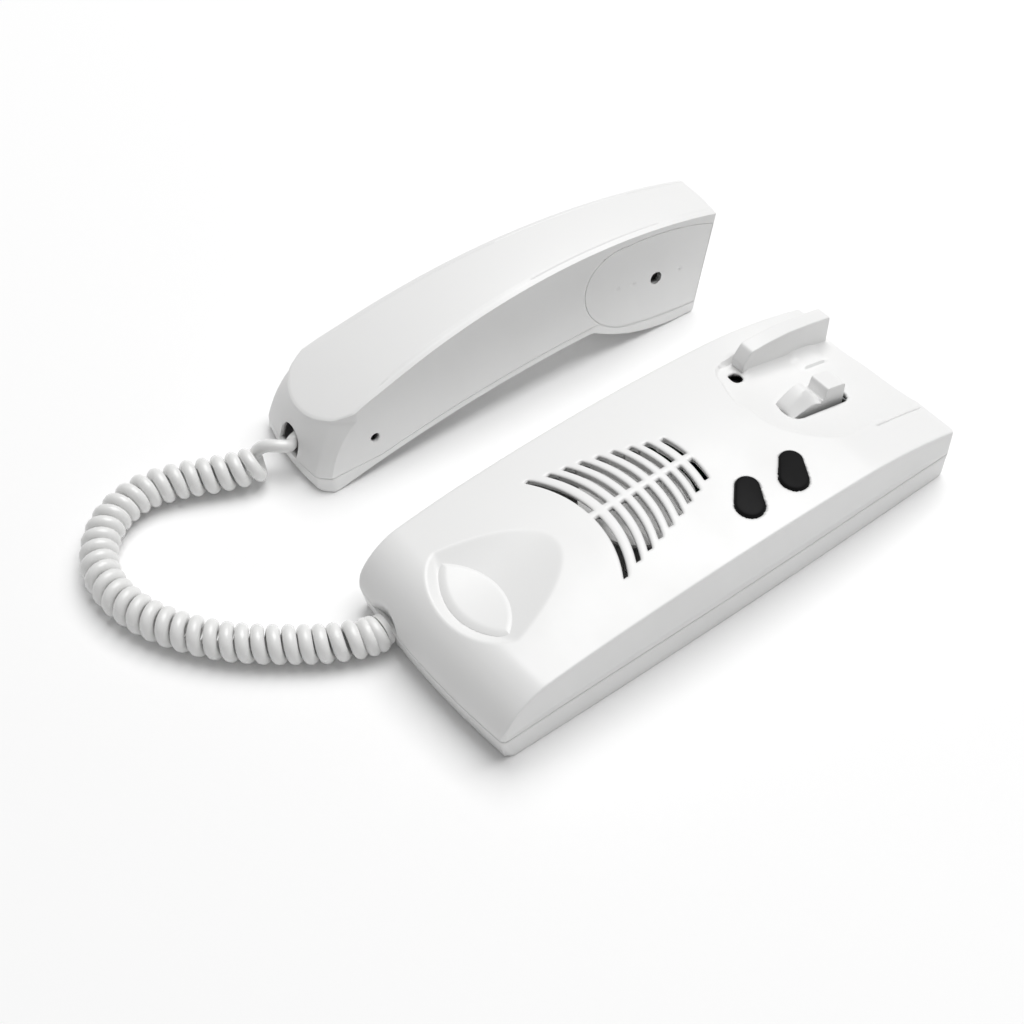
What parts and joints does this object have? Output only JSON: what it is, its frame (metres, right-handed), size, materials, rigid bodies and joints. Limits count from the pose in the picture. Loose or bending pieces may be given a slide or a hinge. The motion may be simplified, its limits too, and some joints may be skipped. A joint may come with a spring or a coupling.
{
  "type": "wall intercom handset station",
  "caption": "White wall intercom station with a cradle base, hook lever, two black push buttons, ringer grille and a curved handset on a curly cord.",
  "frame": {"origin": "centre of the base's back face, on the wall or table", "axes": "+X to the button side of the base, +Y along the base to its cradle end, +Z out of the wall; the handset lies beside the base on its inner face"},
  "size_m": [0.1728, 0.2727, 0.051],
  "materials": {
    "white_shell": "satin moulded plastic",
    "black_plastic": "fine matt",
    "dark_plastic": "moulded",
    "cord_jacket": "smooth extruded jacket",
    "rubber": "matt",
    "steel": "plated",
    "board": "solder mask",
    "can_sleeve": "shrink sleeve"
  },
  "bodies": {
    "base": {"back_plate": "white_shell", "front_cover": "white_shell", "badge_plate": "white_shell", "cover_screw": "steel", "cord_grommet": "rubber", "curly_cord": "cord_jacket", "circuit_board": "board", "board_screws": "steel", "terminal_block": "board", "terminal_screws": "steel", "capacitors": "can_sleeve", "hook_switch": "dark_plastic", "door_switch": "dark_plastic", "aux_switch": "dark_plastic", "ringer_frame": "dark_plastic", "ringer_magnet": "steel", "ringer_cone": "black_plastic", "lever_pin": "steel", "lever_spring": "steel"},
    "hook": {"hook_lever": "white_shell"},
    "hook_stem": {"hook_plunger": "black_plastic"},
    "door_key": {"door_button": "black_plastic", "door_plunger": "black_plastic"},
    "aux_key": {"aux_button": "black_plastic", "aux_plunger": "black_plastic"},
    "handset": {"handset_back_shell": "white_shell", "handset_front_shell": "white_shell", "ear_panel_right": "white_shell", "ear_panel_left": "white_shell", "receiver_capsule": "dark_plastic", "receiver_gasket": "rubber", "microphone_capsule": "steel", "microphone_boot": "rubber", "cord_anchor": "white_shell", "handset_screws": "steel"}
  },
  "joints": [
    {"name": "hook_swing", "type": "hinge", "parent": "base", "child": "hook", "pos_m": [0.002, 0.083, 0.0194], "axis": [1, 0, 0], "range_deg": [0, 7], "stiffness_Nm_per_rad": 0.02, "deforming": ["lever_spring"]},
    {"name": "hook_press", "type": "slide", "parent": "base", "child": "hook_stem", "axis": [0, 0, -1], "range_m": [0, 0.0023]},
    {"name": "door_push", "type": "slide", "parent": "base", "child": "door_key", "axis": [0, 0, -1], "range_m": [0, 0.0015], "stiffness_N_per_m": 200},
    {"name": "aux_push", "type": "slide", "parent": "base", "child": "aux_key", "axis": [0, 0, -1], "range_m": [0, 0.0015], "stiffness_N_per_m": 200},
    {"name": "handset_lift", "type": "slide", "parent": "base", "child": "handset", "axis": [0, 0, 1], "range_m": [0, 0.08], "deforming": ["curly_cord"]}
  ],
  "couplings": [
    {"joint": "hook_press", "follows": "hook_swing", "m_per_rad": 0.018}
  ]
}
